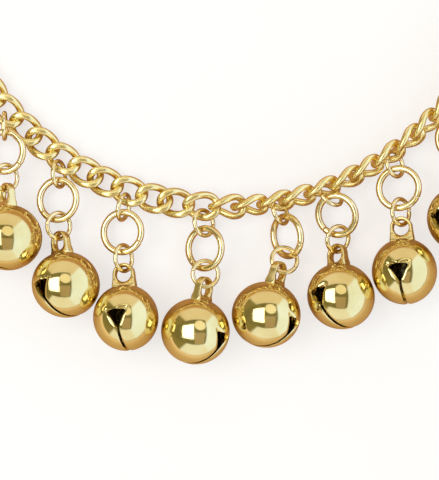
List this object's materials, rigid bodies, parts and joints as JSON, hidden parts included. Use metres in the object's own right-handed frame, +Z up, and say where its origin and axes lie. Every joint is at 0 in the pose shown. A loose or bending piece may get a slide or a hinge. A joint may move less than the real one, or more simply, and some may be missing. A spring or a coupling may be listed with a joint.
{
  "type": "ghungroo ankle bells",
  "caption": "Gold-tone curb-chain ankle bells: slit round jingle bells with loose pellets hang on jump rings along the front, with an end ring and a lever clasp.",
  "frame": {"origin": "on the table that the undone anklet lies on, under the middle of its box", "axes": "+Z up from the table; -Y towards the bells; +X to the right seen from above with the bells nearest"},
  "size_m": [0.09, 0.111, 0.0103],
  "materials": {
    "chain": "polished pale gilt",
    "ring": "polished gilt wire",
    "bell": "mirror-polished gilt",
    "clasp": "polished gilt",
    "pellet": "dull steel"
  },
  "bodies": {
    "left_tail_3": {"left_tail_3": "chain"},
    "left_tail_2": {"left_tail_2": "chain"},
    "left_tail_1": {"left_tail_1": "chain"},
    "chain_run_1": {"chain_run_1": "chain"},
    "chain_run_2": {"chain_run_2": "chain"},
    "chain_run_3": {"chain_run_3": "chain"},
    "chain_run_4": {"chain_run_4": "chain"},
    "chain_run_5": {"chain_run_5": "chain"},
    "chain_run_6": {"chain_run_6": "chain"},
    "chain_run_7": {"chain_run_7": "chain"},
    "chain_run_8": {"chain_run_8": "chain"},
    "right_tail_1": {"right_tail_1": "chain"},
    "right_tail_2": {"right_tail_2": "chain"},
    "right_tail_3": {"right_tail_3": "chain"},
    "upper_ring_1": {"upper_ring_1": "ring"},
    "big_ring_1": {"big_ring_1": "ring"},
    "lower_ring_1": {"lower_ring_1": "ring"},
    "bell_1": {"bell_1": "bell"},
    "pellet_1": {"pellet_1": "pellet"},
    "upper_ring_2": {"upper_ring_2": "ring"},
    "big_ring_2": {"big_ring_2": "ring"},
    "lower_ring_2": {"lower_ring_2": "ring"},
    "bell_2": {"bell_2": "bell"},
    "pellet_2": {"pellet_2": "pellet"},
    "upper_ring_3": {"upper_ring_3": "ring"},
    "big_ring_3": {"big_ring_3": "ring"},
    "lower_ring_3": {"lower_ring_3": "ring"},
    "bell_3": {"bell_3": "bell"},
    "pellet_3": {"pellet_3": "pellet"},
    "upper_ring_4": {"upper_ring_4": "ring"},
    "big_ring_4": {"big_ring_4": "ring"},
    "lower_ring_4": {"lower_ring_4": "ring"},
    "bell_4": {"bell_4": "bell"},
    "pellet_4": {"pellet_4": "pellet"},
    "upper_ring_5": {"upper_ring_5": "ring"},
    "big_ring_5": {"big_ring_5": "ring"},
    "lower_ring_5": {"lower_ring_5": "ring"},
    "bell_5": {"bell_5": "bell"},
    "pellet_5": {"pellet_5": "pellet"},
    "upper_ring_6": {"upper_ring_6": "ring"},
    "big_ring_6": {"big_ring_6": "ring"},
    "lower_ring_6": {"lower_ring_6": "ring"},
    "bell_6": {"bell_6": "bell"},
    "pellet_6": {"pellet_6": "pellet"},
    "upper_ring_7": {"upper_ring_7": "ring"},
    "big_ring_7": {"big_ring_7": "ring"},
    "lower_ring_7": {"lower_ring_7": "ring"},
    "bell_7": {"bell_7": "bell"},
    "pellet_7": {"pellet_7": "pellet"},
    "upper_ring_8": {"upper_ring_8": "ring"},
    "big_ring_8": {"big_ring_8": "ring"},
    "lower_ring_8": {"lower_ring_8": "ring"},
    "bell_8": {"bell_8": "bell"},
    "pellet_8": {"pellet_8": "pellet"},
    "end_ring": {"end_ring": "ring"},
    "clasp_ring": {"clasp_ring": "ring"},
    "clasp_body": {"clasp_body": "clasp", "lever_pin": "pellet"},
    "clasp_lever": {"clasp_lever": "clasp"}
  },
  "joints": [
    {"name": "left_tail_3_bend", "type": "hinge", "parent": "left_tail_2", "child": "left_tail_3", "pos_m": [-0.03866, 0.02875, 0.00111], "axis": [0.9037, -0.4281, 0], "range_deg": [0, 15]},
    {"name": "left_tail_2_bend", "type": "hinge", "parent": "left_tail_1", "child": "left_tail_2", "pos_m": [-0.04264, 0.00699, 0.00111], "axis": [0.9968, 0.0805, 0], "range_deg": [0, 15]},
    {"name": "left_tail_1_bend", "type": "hinge", "parent": "chain_run_1", "child": "left_tail_1", "pos_m": [-0.03522, -0.01384, 0.00178], "axis": [0.8232, 0.5677, 0], "range_deg": [0, 15]},
    {"name": "chain_run_1_bend", "type": "hinge", "parent": "chain_run_2", "child": "chain_run_1", "pos_m": [-0.02795, -0.02194, 0.00181], "axis": [0.6533, 0.7571, 0], "range_deg": [0, 4]},
    {"name": "chain_run_2_bend", "type": "hinge", "parent": "chain_run_3", "child": "chain_run_2", "pos_m": [-0.01887, -0.02795, 0.00181], "axis": [0.441, 0.8975, 0], "range_deg": [0, 5]},
    {"name": "chain_run_3_bend", "type": "hinge", "parent": "chain_run_4", "child": "chain_run_3", "pos_m": [-0.00856, -0.03147, 0.00181], "axis": [0.2001, 0.9798, 0], "range_deg": [0, 7]},
    {"name": "chain_run_5_bend", "type": "hinge", "parent": "chain_run_4", "child": "chain_run_5", "pos_m": [0.00229, -0.03227, 0.00322], "axis": [0.0537, -0.9986, 0], "range_deg": [0, 12]},
    {"name": "chain_run_6_bend", "type": "hinge", "parent": "chain_run_5", "child": "chain_run_6", "pos_m": [0.00931, -0.0313, 0.00335], "axis": [0.2179, -0.976, 0], "range_deg": [0, 12]},
    {"name": "chain_run_7_bend", "type": "hinge", "parent": "chain_run_6", "child": "chain_run_7", "pos_m": [0.01955, -0.0276, 0.00335], "axis": [0.4573, -0.8893, 0], "range_deg": [0, 5]},
    {"name": "chain_run_8_bend", "type": "hinge", "parent": "chain_run_7", "child": "chain_run_8", "pos_m": [0.02852, -0.02143, 0.00335], "axis": [0.667, -0.7451, 0], "range_deg": [0, 12]},
    {"name": "right_tail_1_bend", "type": "hinge", "parent": "chain_run_8", "child": "right_tail_1", "pos_m": [0.03564, -0.0132, 0.00335], "axis": [0.8335, -0.5526, 0], "range_deg": [0, 15]},
    {"name": "right_tail_2_bend", "type": "hinge", "parent": "right_tail_1", "child": "right_tail_2", "pos_m": [0.04268, 0.00777, 0.00111], "axis": [0.9981, -0.0623, 0], "range_deg": [0, 15]},
    {"name": "right_tail_3_bend", "type": "hinge", "parent": "right_tail_2", "child": "right_tail_3", "pos_m": [0.0383, 0.02945, 0.00111], "axis": [0.8957, 0.4446, 0], "range_deg": [0, 15]},
    {"name": "upper_ring_1_swing", "type": "hinge", "parent": "chain_run_1", "child": "upper_ring_1", "pos_m": [-0.03221, -0.01998, 0.00242], "axis": [-0.6678, 0.7443, 0], "range_deg": [-12, 15]},
    {"name": "big_ring_1_swing", "type": "hinge", "parent": "upper_ring_1", "child": "big_ring_1", "pos_m": [-0.03221, -0.02232, 0.00293], "axis": [0.9998, 0.0175, 0], "range_deg": [-25, 12]},
    {"name": "lower_ring_1_swing", "type": "hinge", "parent": "big_ring_1", "child": "lower_ring_1", "pos_m": [-0.03206, -0.02718, 0.0033], "axis": [-0.9945, -0.1045, 0], "range_deg": [-25, 15]},
    {"name": "bell_1_swing", "type": "hinge", "parent": "lower_ring_1", "child": "bell_1", "pos_m": [-0.03183, -0.02999, 0.00324], "axis": [0.9994, 0.0349, 0], "range_deg": [-17, 15]},
    {"name": "pellet_1_roll", "type": "hinge", "parent": "bell_1", "child": "pellet_1", "pos_m": [-0.03159, -0.03688, 0.00498], "axis": [0.0338, -0.9692, 0.244], "continuous": true},
    {"name": "upper_ring_2_swing", "type": "hinge", "parent": "chain_run_2", "child": "upper_ring_2", "pos_m": [-0.02416, -0.02689, 0.00208], "axis": [0.8341, -0.5516, 0], "range_deg": [-17, 16]},
    {"name": "big_ring_2_swing", "type": "hinge", "parent": "upper_ring_2", "child": "big_ring_2", "pos_m": [-0.02424, -0.02939, 0.00268], "axis": [-0.9994, 0.0349, 0], "range_deg": [-15, 25]},
    {"name": "lower_ring_2_swing", "type": "hinge", "parent": "big_ring_2", "child": "lower_ring_2", "pos_m": [-0.02429, -0.03428, 0.00307], "axis": [0.9945, 0.1045, 0], "range_deg": [-15, 25]},
    {"name": "bell_2_swing", "type": "hinge", "parent": "lower_ring_2", "child": "bell_2", "pos_m": [-0.02398, -0.03708, 0.00296], "axis": [-0.9903, -0.1392, 0], "range_deg": [-25, 12]},
    {"name": "pellet_2_roll", "type": "hinge", "parent": "bell_2", "child": "pellet_2", "pos_m": [-0.02304, -0.0438, 0.00506], "axis": [0.133, -0.9462, 0.295], "continuous": true},
    {"name": "upper_ring_3_swing", "type": "hinge", "parent": "chain_run_3", "child": "upper_ring_3", "pos_m": [-0.01439, -0.03167, 0.00181], "axis": [-0.9463, 0.3232, 0], "range_deg": [-30, 30]},
    {"name": "big_ring_3_swing", "type": "hinge", "parent": "upper_ring_3", "child": "big_ring_3", "pos_m": [-0.01516, -0.03423, 0.00243], "axis": [0.9848, 0.1736, 0], "range_deg": [-25, 15]},
    {"name": "lower_ring_3_swing", "type": "hinge", "parent": "big_ring_3", "child": "lower_ring_3", "pos_m": [-0.01459, -0.03904, 0.00301], "axis": [-0.9994, 0.0349, 0], "range_deg": [-25, 25]},
    {"name": "bell_3_swing", "type": "hinge", "parent": "lower_ring_3", "child": "bell_3", "pos_m": [-0.01459, -0.04184, 0.00328], "axis": [0.9986, 0.0523, 0], "range_deg": [-6, 25]},
    {"name": "pellet_3_roll", "type": "hinge", "parent": "bell_3", "child": "pellet_3", "pos_m": [-0.01424, -0.04865, 0.00522], "axis": [0.0503, -0.9607, 0.2729], "continuous": true},
    {"name": "upper_ring_4_swing", "type": "hinge", "parent": "chain_run_4", "child": "upper_ring_4", "pos_m": [-0.0027, -0.03395, 0.00216], "axis": [0.9973, -0.0738, 0], "range_deg": [-30, 24]},
    {"name": "big_ring_4_swing", "type": "hinge", "parent": "upper_ring_4", "child": "big_ring_4", "pos_m": [-0.00285, -0.0366, 0.0029], "axis": [-0.9945, -0.1045, 0], "range_deg": [-15, 25]},
    {"name": "lower_ring_4_swing", "type": "hinge", "parent": "big_ring_4", "child": "lower_ring_4", "pos_m": [-0.00253, -0.04143, 0.00346], "axis": [0.9986, -0.0523, 0], "range_deg": [-20, 10]},
    {"name": "bell_4_swing", "type": "hinge", "parent": "lower_ring_4", "child": "bell_4", "pos_m": [-0.00278, -0.04412, 0.00377], "axis": [-0.9816, 0.1908, 0], "range_deg": [-10, 25]},
    {"name": "pellet_4_roll", "type": "hinge", "parent": "bell_4", "child": "pellet_4", "pos_m": [-0.00404, -0.05065, 0.00499], "axis": [-0.1877, -0.9656, 0.1802], "continuous": true},
    {"name": "upper_ring_5_swing", "type": "hinge", "parent": "chain_run_5", "child": "upper_ring_5", "pos_m": [0.00831, -0.03248, 0.00194], "axis": [-0.9836, -0.1804, 0], "range_deg": [-30, 25]},
    {"name": "big_ring_5_swing", "type": "hinge", "parent": "upper_ring_5", "child": "big_ring_5", "pos_m": [0.00893, -0.03486, 0.00243], "axis": [0.9613, 0.2756, 0], "range_deg": [-25, 15]},
    {"name": "lower_ring_5_swing", "type": "hinge", "parent": "big_ring_5", "child": "lower_ring_5", "pos_m": [0.00966, -0.03964, 0.00258], "axis": [-0.6947, 0.7193, 0], "range_deg": [-15, 25]},
    {"name": "bell_5_swing", "type": "hinge", "parent": "lower_ring_5", "child": "bell_5", "pos_m": [0.00818, -0.04176, 0.00354], "axis": [0.9613, -0.2756, 0], "range_deg": [-12, 25]},
    {"name": "pellet_5_roll", "type": "hinge", "parent": "bell_5", "child": "pellet_5", "pos_m": [0.00633, -0.04822, 0.00498], "axis": [-0.2696, -0.9401, 0.2087], "continuous": true},
    {"name": "upper_ring_6_swing", "type": "hinge", "parent": "chain_run_6", "child": "upper_ring_6", "pos_m": [0.01588, -0.03053, 0.00218], "axis": [0.9403, 0.3404, 0], "range_deg": [-15, 25]},
    {"name": "big_ring_6_swing", "type": "hinge", "parent": "upper_ring_6", "child": "big_ring_6", "pos_m": [0.01652, -0.03208, 0.00339], "axis": [-0.9848, -0.1736, 0], "range_deg": [-2, 6]},
    {"name": "lower_ring_6_swing", "type": "hinge", "parent": "big_ring_6", "child": "lower_ring_6", "pos_m": [0.017, -0.0365, 0.00262], "axis": [0.9976, -0.0698, 0], "range_deg": [-25, 25]},
    {"name": "bell_6_swing", "type": "hinge", "parent": "lower_ring_6", "child": "bell_6", "pos_m": [0.01686, -0.03901, 0.00225], "axis": [-0.9976, -0.0698, 0], "range_deg": [-25, 8]},
    {"name": "pellet_6_roll", "type": "hinge", "parent": "bell_6", "child": "pellet_6", "pos_m": [0.01731, -0.0455, 0.00505], "axis": [0.0641, -0.9161, 0.3958], "continuous": true},
    {"name": "upper_ring_7_swing", "type": "hinge", "parent": "chain_run_7", "child": "upper_ring_7", "pos_m": [0.02529, -0.0253, 0.002], "axis": [-0.8239, -0.5667, 0], "range_deg": [-12, 12]},
    {"name": "big_ring_7_swing", "type": "hinge", "parent": "upper_ring_7", "child": "big_ring_7", "pos_m": [0.02562, -0.0279, 0.00258], "axis": [0.9848, 0.1736, 0], "range_deg": [-25, 20]},
    {"name": "lower_ring_7_swing", "type": "hinge", "parent": "big_ring_7", "child": "lower_ring_7", "pos_m": [0.02617, -0.03252, 0.00334], "axis": [-1, 0, 0], "range_deg": [-25, 25]},
    {"name": "bell_7_swing", "type": "hinge", "parent": "lower_ring_7", "child": "bell_7", "pos_m": [0.02624, -0.03505, 0.00353], "axis": [0.9986, 0.0523, 0], "range_deg": [-6, 20]},
    {"name": "pellet_7_roll", "type": "hinge", "parent": "bell_7", "child": "pellet_7", "pos_m": [0.0266, -0.04186, 0.00522], "axis": [0.0508, -0.9691, 0.2413], "continuous": true},
    {"name": "upper_ring_8_swing", "type": "hinge", "parent": "chain_run_8", "child": "upper_ring_8", "pos_m": [0.0332, -0.01789, 0.00189], "axis": [0.6541, 0.7564, 0], "range_deg": [-8, 24]},
    {"name": "big_ring_8_swing", "type": "hinge", "parent": "upper_ring_8", "child": "big_ring_8", "pos_m": [0.03383, -0.02041, 0.00247], "axis": [-0.9703, -0.2419, 0], "range_deg": [-12, 25]},
    {"name": "lower_ring_8_swing", "type": "hinge", "parent": "big_ring_8", "child": "lower_ring_8", "pos_m": [0.03465, -0.02522, 0.00256], "axis": [1, 0, 0], "range_deg": [-25, 10]},
    {"name": "bell_8_swing", "type": "hinge", "parent": "lower_ring_8", "child": "bell_8", "pos_m": [0.03467, -0.02779, 0.00229], "axis": [-0.9994, -0.0349, 0], "range_deg": [-25, 4]},
    {"name": "pellet_8_roll", "type": "hinge", "parent": "bell_8", "child": "pellet_8", "pos_m": [0.03489, -0.03423, 0.00503], "axis": [0.0321, -0.9197, 0.3912], "continuous": true},
    {"name": "end_ring_swing", "type": "hinge", "parent": "left_tail_3", "child": "end_ring", "pos_m": [-0.02381, 0.04609, 0.00146], "axis": [0.4568, -0.6089, 0.6486], "range_deg": [-25, 25]},
    {"name": "clasp_ring_swing", "type": "hinge", "parent": "right_tail_3", "child": "clasp_ring", "pos_m": [0.02314, 0.04651, 0.00146], "axis": [0.4453, 0.6173, 0.6486], "range_deg": [-25, 25]},
    {"name": "clasp_body_swing", "type": "hinge", "parent": "clasp_ring", "child": "clasp_body", "pos_m": [0.02089, 0.04814, 0.00146], "axis": [0.5854, 0.8107, 0], "range_deg": [-25, 25]},
    {"name": "clasp_lever_open", "type": "hinge", "parent": "clasp_body", "child": "clasp_lever", "pos_m": [0.01887, 0.05195, 0.00006], "axis": [0, 0, 1], "range_deg": [0, 25], "stiffness_Nm_per_rad": 0.0005}
  ]
}
